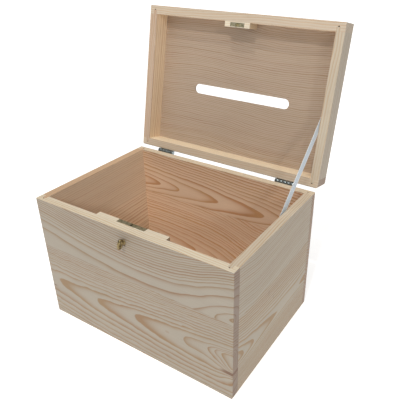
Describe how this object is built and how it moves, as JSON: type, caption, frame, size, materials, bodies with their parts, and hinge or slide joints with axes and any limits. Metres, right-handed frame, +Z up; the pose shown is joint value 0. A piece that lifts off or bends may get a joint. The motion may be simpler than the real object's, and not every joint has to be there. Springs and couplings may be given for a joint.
{
  "type": "lockable wooden box",
  "caption": "Small pine chest with a hinged, lockable lid that has a posting slot and is held open by a ribbon.",
  "frame": {"origin": "middle of the underside", "axes": "+Z up, -Y towards the front with the keyhole, +X to the right seen from the front"},
  "size_m": [0.3, 0.2944, 0.3946],
  "materials": {
    "pine": "bare sanded pine",
    "bottom_sheet": "bare sanded sheet",
    "lid_sheet": "bare sanded sheet",
    "lock_steel": "dull olive-grey plating",
    "key_brass": "dull antique",
    "strike_brass": "dull",
    "hinge_zinc": "dark zinc plating",
    "ribbon_fabric": "thin pale woven tape"
  },
  "bodies": {
    "box": {"front_panel": "pine", "back_panel": "pine", "left_panel": "pine", "right_panel": "pine", "bottom_panel": "bottom_sheet", "lock_block": "pine", "lock_case": "lock_steel", "lock_cover": "lock_steel", "bolt_spring": "lock_steel", "drill_pin": "lock_steel", "lock_screws": "lock_steel", "left_hinge_body_leaf": "hinge_zinc", "left_hinge_pin": "hinge_zinc", "right_hinge_body_leaf": "hinge_zinc", "right_hinge_pin": "hinge_zinc", "body_hinge_screws": "hinge_zinc", "stay_ribbon": "ribbon_fabric", "body_stay_screw": "lock_steel"},
    "lid": {"lid_front_rail": "pine", "lid_back_rail": "pine", "lid_left_rail": "pine", "lid_right_rail": "pine", "lid_panel": "lid_sheet", "strike_block": "pine", "strike_plate": "strike_brass", "strike_screws": "strike_brass", "left_hinge_lid_leaf": "hinge_zinc", "right_hinge_lid_leaf": "hinge_zinc", "lid_hinge_screws": "hinge_zinc", "lid_stay_screw": "lock_steel"},
    "key": {"key": "key_brass"},
    "bolt": {"lock_bolt": "lock_steel"}
  },
  "joints": [
    {"name": "lid_hinge", "type": "hinge", "parent": "box", "child": "lid", "pos_m": [0, 0.1073, 0.1872], "axis": [1, 0, 0], "range_deg": [0, 101.7], "deforming": ["stay_ribbon"]},
    {"name": "key_turn", "type": "hinge", "parent": "box", "child": "key", "pos_m": [0, -0.1045, 0.172], "axis": [0, -1, 0], "range_deg": [0, 180]},
    {"name": "bolt_slide", "type": "slide", "parent": "box", "child": "bolt", "axis": [-1, 0, 0], "range_m": [0, 0.0044]}
  ],
  "couplings": [
    {"joint": "key_turn", "follows": "bolt_slide", "rad_per_m": 713.9}
  ]
}
